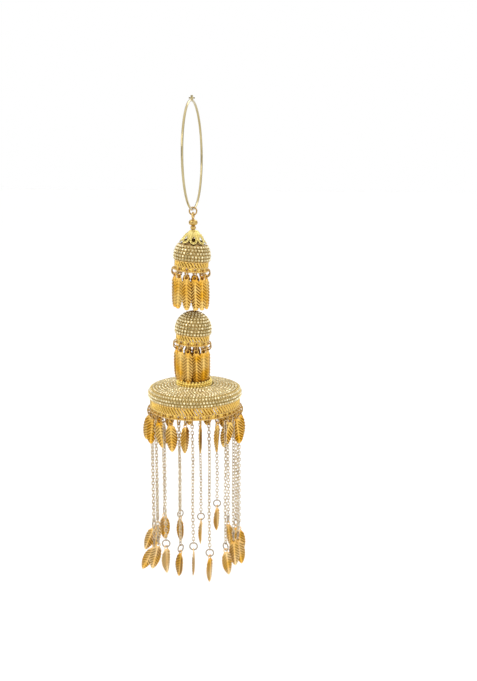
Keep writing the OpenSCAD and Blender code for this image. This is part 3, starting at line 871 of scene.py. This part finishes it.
# Columns: turn of each dome leaf, its tilt away from the pin, the depth of its stamp and its sway
# aside, from the +X side round, with angles in degrees. They shingle from the front leaf to the
# hindmost.
dome_hangs = [(-20, 0, 0.9, 1), (-20, 0, 1.1, -2), (-18, 0, 0.8, 2), (0, -2, 1.0, -1),
              (18, 0, 1.1, 1.5), (20, 0, 0.7, -2), (20, 0, 1.0, 1), (20, 0, 1.0, -1.5),
              (18, 0, 0.65, -3), (2, 2.5, 1.0, 1), (-17, 0, 1.2, 1.5), (-20, 0, 0.85, -1)]


def dome_fringe(node, rings, axes, lean, seed, longer, tip, loose):
    """Twelve leaves that hang plumb round the leaning dome, each bent a little by hand.

    The upper ones are loose and sway in full; the collar keeps the lower ones together."""
    hand = random.Random(seed)
    fringe = Form()
    stem_z = -dome_skirt - dome_band + ring_hole_up - leaf_hang
    for i, (turn, out, stamp, sway) in enumerate(dome_hangs):
        one = leaf(dome_leaf_length + longer, dome_leaf_wide, sharp=0.38,
                   cup=0.2 + 0.1 * hand.random(), curl=0.25 * hand.uniform(-1, 1),
                   twist=0.06 * hand.uniform(-1, 1), tip=tip, stamp=stamp)
        around = Matrix.Rotation(2 * math.pi * i / dome_leaves, 4, "Z")
        stem = around @ Vector((dome_mid_r, 0, stem_z))
        fringe.join(one, Matrix.Translation(stem) @ Matrix.Rotation(-lean, 4, "Y") @ around
                    @ Matrix.Rotation(-math.radians(out), 4, "Y")
                    @ Matrix.Rotation(math.radians(turn), 4, "Z")
                    @ Matrix.Rotation(math.radians(sway * loose), 4, "X"))
    dress(rings, ring_gold)
    finish_piece(node + "_fringe", [fringe.mesh(node, leaf_gold)], "drop", "gold_leaves", node,
                 matrix=axes)


dome_fringe("upper_leaves", "upper_leaf_rings", upper_axes, upper_lean, seed=21, longer=0.4,
            tip=0.0, loose=1.0)
dome_fringe("lower_leaves", "lower_leaf_rings", lower_axes, lower_lean, seed=22, longer=0.9,
            tip=0.5, loose=0.3)


# Leaf collar
# A short brass tube soldered on the drum, with two rows of shot round its outside and one on its
# rim. The second dome's leaf tips end inside it.

collar_low, collar_high = box_mm("leaf_collar")
collar_inset = 0.15
collar_r = (collar_high.x - collar_low.x) / 2 - collar_inset
collar_off_centre = (-0.25, -0.05, 0)
collar_base = collar_high.z - 2.4
collar_foot = collar_base - 0.9
collar_rim = collar_high.z - 0.1
tube_r = collar_r - 0.7
tube_inner_r = collar_r - 1.1
shot_r = 0.56
shot_pitch = 1.6
collar = Form().turned([(tube_inner_r, collar_foot), (tube_r, collar_foot), (tube_r, collar_rim),
                        (tube_inner_r, collar_rim)], 96)
collar_gold = polished_gold("collar gold", (1.0, 0.86, 0.34, 1), (0.94, 0.72, 0.18, 1), 0.30)
# The tube is painted darker than its shot, as the shade that falls between the grains.
collar_tube_shade_gold = polished_gold("collar tube gold", (0.68, 0.47, 0.13, 1), (0.54, 0.34, 0.06, 1),
                                 0.34)
shot_rows = [(tube_r + out, z, facing_out) for out, z in (
    (0.15, collar_base + 0.5), (0.1, collar_base + 1.7), (-0.2, collar_rim + 0.2))]
shot = in_rows(shot_rows, ball(shot_r), shot_pitch, collar_gold)
finish_piece("leaf_collar_beading", [collar.mesh("collar", collar_tube_shade_gold), shot], "drop",
             "bright_gold_cap", "leaf_collar", matrix=Matrix.Translation(collar_off_centre))


# Drum
# A spun brass pan, open below, with a gently sloping top. Stones cover its top and its shoulder;
# under them a gallery of slanting bars and a drilled strip runs round between three grained wires.

drum_r = 21.7
drum_wall = 0.6
drum_mid_r = drum_r - drum_wall / 2
drum_slope = math.radians(7)
drum_corner = 1.8
drum_skirt = 2.6
drum_band = 5.6
drum_flat_r = drum_r - drum_corner
drum_base_z = box_mm("drum")[0].z + edge_wire
drum_gallery_z = drum_base_z + drum_band
drum_corner_z = drum_gallery_z + drum_skirt
drum_apex_z = drum_corner_z + drum_flat_r * math.tan(drum_slope) + drum_corner / math.cos(drum_slope)
chain_count = 18


def node_turn(node):
    """The turn round the Z axis at which a hanging piece stands."""
    low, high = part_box(node)
    return math.atan2(low.y + high.y, low.x + high.x) % (2 * math.pi)


chain_turns = [node_turn("chain_%02d" % (i + 1)) for i in range(chain_count)]
next_turns = chain_turns[1:] + [chain_turns[0] + 2 * math.pi]
leaf_turns = [(turn + ahead) / 2 for turn, ahead in zip(chain_turns, next_turns)]


def pan_profile(r, corner, apex_z, low_z):
    flat = r - corner
    middle_z = apex_z - flat * math.tan(drum_slope) - corner / math.cos(drum_slope)
    shoulder = arc(flat, middle_z, corner, 90 - math.degrees(drum_slope), 0, 6)
    return [(pin_hole_r, apex_z - pin_hole_r * math.tan(drum_slope))] + shoulder + [(r, low_z)]


pan_outside = pan_profile(drum_r, drum_corner, drum_apex_z, drum_gallery_z)
pan_inside = pan_profile(drum_r - drum_wall, drum_corner - drum_wall, drum_apex_z - drum_wall,
                         drum_gallery_z)
pan = Form().turned(pan_outside + pan_inside[::-1], 128)
drilled = sorted(turn % (2 * math.pi) for turn in chain_turns + leaf_turns)
drum_gallery = gallery(drum_mid_r, drum_base_z, drum_gallery_z, drilled, laps=160, bar_pitch=1.53,
                       grain_pitch=0.82)
finish_piece("drum_metal", [pan.mesh("pan", shell_shade_gold)] + drum_gallery, "drop", "gold_bands", "drum")


def drum_stone_rows():
    """Rows from the shoulder in to the collar, two round the shoulder and one under it.

    Rows of grains close the wedges that open between the stones round the shoulder."""
    rows, wedges = [], []
    span = drum_flat_r - collar_r - stone_row_half - 2 * stone_row_gap
    top_rows = round(span / stone_pitch)
    for k in range(top_rows + 1):
        r = drum_flat_r - span * k / top_rows
        rows.append((r + stone_row_gap * math.sin(drum_slope),
                     drum_apex_z - r * math.tan(drum_slope) + stone_row_gap * math.cos(drum_slope),
                     drum_slope))
    off = drum_corner + stone_row_gap
    step = (facing_out - drum_slope) / 2
    for turn in (drum_slope + step, facing_out):
        rows.append((drum_flat_r + off * math.sin(turn), drum_corner_z + off * math.cos(turn), turn))
        between = turn - step / 2
        wedges.append((drum_flat_r + (off + wedge_out) * math.sin(between),
                       drum_corner_z + (off + wedge_out) * math.cos(between), between))
    rows.append((drum_r + stone_row_gap, drum_gallery_z + edge_wire + stone_row_half + stone_row_gap,
                 facing_out))
    return rows, wedges


drum_rows, drum_wedges = drum_stone_rows()
stone_field("drum_stones", drum_rows, wedges=drum_wedges)
dress("drum_rings", ring_gold)


# Drum leaves
# The same stamped leaf, a little shorter, on a ring in every other hole of the drum's strip. They
# hang free, so that each has turned and tipped its own way.

# Columns: turn and tilt of the leaf after each chain, facing of the chain's end ring, and turn
# and tilt of the end leaf, in degrees
hangs = [(70, 6, 190, 0, 5), (35, -5, 220, 20, -8), (30, 0, 180, -20, 8), (15, 4, 282, -30, 0),
         (20, 0, 290, -30, -4), (-20, 0, 322, 0, 0), (-45, 5, 215, -25, 0), (-60, 0, 200, 10, -10),
         (75, -8, 170, 10, -22), (60, -4, 192, 0, -28), (45, 10, 210, -15, -14), (20, 4, 282, -48, 0),
         (55, 0, 332, -14, 8), (68, 0, 282, 0, 0), (30, -8, 280, -30, 0), (-45, -15, 234, -15, 8),
         (-55, 5, 200, 0, 4), (-70, 0, 180, 15, 8)]
small_leaf_length = 13.2
drum_leaf_wide = 6.0
drum_leaf_z = drum_base_z + ring_hole_up - leaf_hang
drum_leaf_out = math.radians(3)
hand = random.Random(31)
drum_fringe = Form()
for hang, turn in zip(hangs, leaf_turns):
    one = leaf(small_leaf_length, drum_leaf_wide, sharp=0.55, cup=0.5 + 0.2 * hand.random(),
               curl=0.9 * hand.uniform(-0.3, 1), twist=0.25 * hand.uniform(-1, 1))
    own_turn, own_tilt = (math.radians(a) for a in hang[:2])
    seat = (Matrix.Rotation(turn, 4, "Z") @ Matrix.Translation((drum_mid_r, 0, drum_leaf_z))
            @ Matrix.Rotation(-drum_leaf_out, 4, "Y") @ Matrix.Rotation(own_turn, 4, "Z")
            @ Matrix.Rotation(own_tilt, 4, "X"))
    drum_fringe.join(one, seat)
finish_piece("drum_leaves_fringe", [drum_fringe.mesh("drum leaves", leaf_gold)], "drop", "gold_leaves",
             "drum_leaves")


# Chains
# Fine cable chain of oval links, each bent from round wire, closed and soldered, in a pale plate.
# The top link of each goes through its ring on the drum, and the last link through the end ring.

link_long = 2.5
link_wide = 1.7
link_wire = 0.42
link_slack = 0.02
link_spread = (0.05, 0.05, 0.12)
ring_wire = 0.6
ring_gap = 0.1
hook_play = 0.04
hook = ring_gap + ring_wire + link_wire + hook_play


def oval_link():
    """A long oval link, standing along Z with its hole facing X."""
    end_r = (link_wide - link_wire) / 2
    straight = (link_long - link_wire) / 2 - end_r
    path = [(0, end_r * math.cos(a), end_r * math.sin(a) + (straight if a <= math.pi else -straight))
            for a in (math.pi * (k + 0.5) / 9 for k in range(18))]
    return Form().wire(path, link_wire / 2, 6)


def chain_tree():
    """Links along a path, each a quarter turn from the last, with a slow twist down the chain."""
    g = Growth("cable chain", Thing="Object", Links="Int", First="Float", Step="Float",
               Finish="Material", Seed="Int")
    curve = g.node("GeometryNodeMeshToCurve", {0: g.size("Geometry")})
    spots = g.node("GeometryNodeResampleCurve", {"Curve": curve, "Count": g.size("Links")},
                   mode="COUNT")
    index = g.node("GeometryNodeInputIndex")
    steps = g.node("ShaderNodeMath", {0: index, 1: g.size("Step")}, operation="MULTIPLY")
    turn = g.node("ShaderNodeMath", {0: steps, 1: g.size("First")}, operation="ADD")
    least = tuple(-a for a in link_spread)
    lean = g.node("FunctionNodeRandomValue", {0: least, 1: link_spread, "Seed": g.size("Seed")},
                  data_type="FLOAT_VECTOR")
    upright = g.node("ShaderNodeCombineXYZ", {"Z": turn})
    whole = g.node("ShaderNodeVectorMath", {0: upright, 1: lean}, operation="ADD")
    g.ends_in(spots, g.node("FunctionNodeEulerToRotation", {0: whole}), g.size("Seed"))
    return g


def pale_chain_plate():
    made = Finish("pale chain plate")
    tint = made.mark("tint")
    fine = made.noise(3000.0, 4.0)
    return made.wear(
        Base_Color=made.mix(tint, (0.74, 0.64, 0.48, 1), (0.56, 0.45, 0.30, 1)),
        Metallic=1.0,
        Roughness=(fine - 0.5) * 0.1 + 0.2,
        Normal=made.bump(fine, 0.1, 0.00002))


chain_plate = pale_chain_plate()
cable_chain = chain_tree()
link = bpy.data.objects.new("link", oval_link().mesh("link", chain_plate))
bpy.context.scene.collection.objects.link(link)
chain_route = ((0.0, 0.0), (0.3, 0.2), (0.7, -0.2), (1.0, 0.0))
for i in range(chain_count):
    node = "chain_%02d" % (i + 1)
    low, high = box_mm(node)
    facing = math.radians(hangs[i][2])
    top = high.z + hook - link_long / 2
    foot = low.z - hook + link_long / 2
    hops = math.ceil((top - foot) / (link_long - 2 * link_wire - link_slack))
    turn = chain_turns[i]
    slack = (facing + math.pi / 2 - turn - hops * math.pi / 2) % math.pi
    slack = slack - math.pi if slack > math.pi / 2 else slack
    out = Vector((math.cos(turn), math.sin(turn), 0))
    aside = Vector((-math.sin(turn), math.cos(turn), 0))
    route = [out * drum_mid_r + aside * sway + Vector((0, 0, top + (foot - top) * share))
             for share, sway in chain_route]
    path = bpy.data.meshes.new("path")
    path.from_pydata([tuple(p) for p in route], [(0, 1), (1, 2), (2, 3)], [])
    links = cable_chain.grow(path, Thing=link, Links=hops + 1, First=turn,
                             Step=math.pi / 2 + slack / hops, Finish=chain_plate, Seed=i)
    finish_piece(node + "_links", [links], "drop", "pale_chain", node)
bpy.data.objects.remove(link)
end_ring_gold = polished_gold("end ring gold", (0.46, 0.39, 0.29, 1), (0.34, 0.26, 0.17, 1), 0.2)
dress("chain_end_rings", end_ring_gold)


# Chain leaves
# One leaf at the foot of each chain, on the chain's end ring, in a slightly paler plate.

end_ring_r = 1.8
end_leaf_wide = 5.6
end_leaf_drop = 0.25
end_leaf_down = ring_gap + ring_wire / 2 + 2 * end_ring_r + end_leaf_drop
hand = random.Random(41)
for i in range(chain_count):
    foot = box_mm("chain_%02d" % (i + 1))[0].z
    turn = chain_turns[i]
    ring_facing, end_turn, end_tilt = (math.radians(a) for a in hangs[i][2:])
    node = "chain_leaf_%02d" % (i + 1)
    one = leaf(small_leaf_length, end_leaf_wide, sharp=0.7, cup=0.5 + 0.3 * hand.random(),
               curl=hand.uniform(-0.6, 1), twist=0.35 * hand.uniform(-1, 1))
    place = (drum_mid_r * math.cos(turn), drum_mid_r * math.sin(turn), foot - end_leaf_down)
    seat = (Matrix.Translation(place) @ Matrix.Rotation(ring_facing + math.pi / 2 + end_turn, 4, "Z")
            @ Matrix.Rotation(end_tilt, 4, "X"))
    finish_piece(node + "_plate", [one.mesh(node, pale_leaf_gold, seat)], "drop", "gold_leaves", node)


# Floor, light and camera
# A pale sheet of paper under the hanging ornament, three soft boxes and a bright tent, with dark
# flags beside them so that the metal has something to show. The camera stands as the photograph's.

low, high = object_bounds()
floor_z = low.z - 0.03
floor_half = 6
paper = bpy.data.meshes.new("paper")
paper.from_pydata([(x * floor_half, y * floor_half, floor_z)
                   for x, y in ((-1, -1), (1, -1), (1, 1), (-1, 1))], [], [[0, 1, 2, 3]])
floor = bpy.data.objects.new("floor", paper)
bpy.context.scene.collection.objects.link(floor)
white_paper = Finish("white paper")
paper.materials.append(white_paper.wear(Base_Color=(0.93, 0.93, 0.93, 1), Roughness=0.9))


def soft_box(name, place, size, power):
    """A square lamp of a size in metres and a power in watts, aimed at the middle of the drop."""
    lamp = bpy.data.lights.new(name, "AREA")
    lamp.size = size
    lamp.energy = power
    lamp_object = bpy.data.objects.new(name, lamp)
    bpy.context.scene.collection.objects.link(lamp_object)
    lamp_object.location = place
    lamp_object.rotation_euler = (lit_middle - Vector(place)).to_track_quat("-Z", "Y").to_euler()


lit_middle = Vector((0, 0, -0.12))
soft_box("key", (-0.45, -0.55, 0.35), size=0.35, power=1.2)
soft_box("fill", (0.6, -0.45, 0.1), size=0.4, power=0.6)
soft_box("back", (0.1, 0.6, 0.4), size=0.4, power=0.8)
tent_strips = 5.0
tent_turn = 1.2


def tent():
    """White where the camera and the paper look; strips of light and dark flags for the metal."""
    sky = Finish("tent", "worlds", "Background", "Generated")
    ways = sky.tree.nodes.new("ShaderNodeSeparateXYZ")
    sky.tree.links.new(sky.place.end, ways.inputs[0])
    x, y, up = (Socket(sky, end) for end in ways.outputs)
    around = sky.node("Math", {0: y, 1: x}, operation="ARCTAN2")
    strips = sky.node("Math", {0: around * tent_strips + tent_turn}, operation="SINE") * 0.5 + 0.5
    strips = sky.node("ValToRGB", {0: strips}, stops=((0.25, 0.16), (0.6, 1.05)))
    roof = sky.node("ValToRGB", {0: up}, stops=((0.25, 0.0), (0.6, 1.0)))
    shown = sky.mix(roof, strips, (1.25, 1.23, 1.2, 1))
    path = sky.node("LightPath", output="Is Camera Ray")
    soft = sky.node("LightPath", output="Is Diffuse Ray")
    shown = sky.mix(soft, shown, (1.08, 1.08, 1.08, 1))
    sky.feed(sky.surface.inputs["Color"], sky.mix(path, shown, (1.0, 1.0, 1.0, 1)))
    return sky.material


bpy.context.scene.world = tent()
bpy.context.scene.view_settings.view_transform = "Standard"

camera_far = 0.400
camera_aside = 0.0211
camera_up = -0.026
camera_turn = math.radians(12)
camera_down = math.radians(12)
focal_px = 854
picture_long = 681
lens = bpy.data.cameras.new("camera")
lens.sensor_width = 36
lens.lens = focal_px / picture_long * lens.sensor_width
lens.clip_start = 0.01
camera = bpy.data.objects.new("camera", lens)
bpy.context.scene.collection.objects.link(camera)
camera.location = Matrix.Rotation(camera_turn, 4, "Z") @ Vector((camera_aside, -camera_far, camera_up))
camera.rotation_euler = (math.pi / 2 - camera_down, 0, camera_turn)
bpy.context.scene.camera = camera
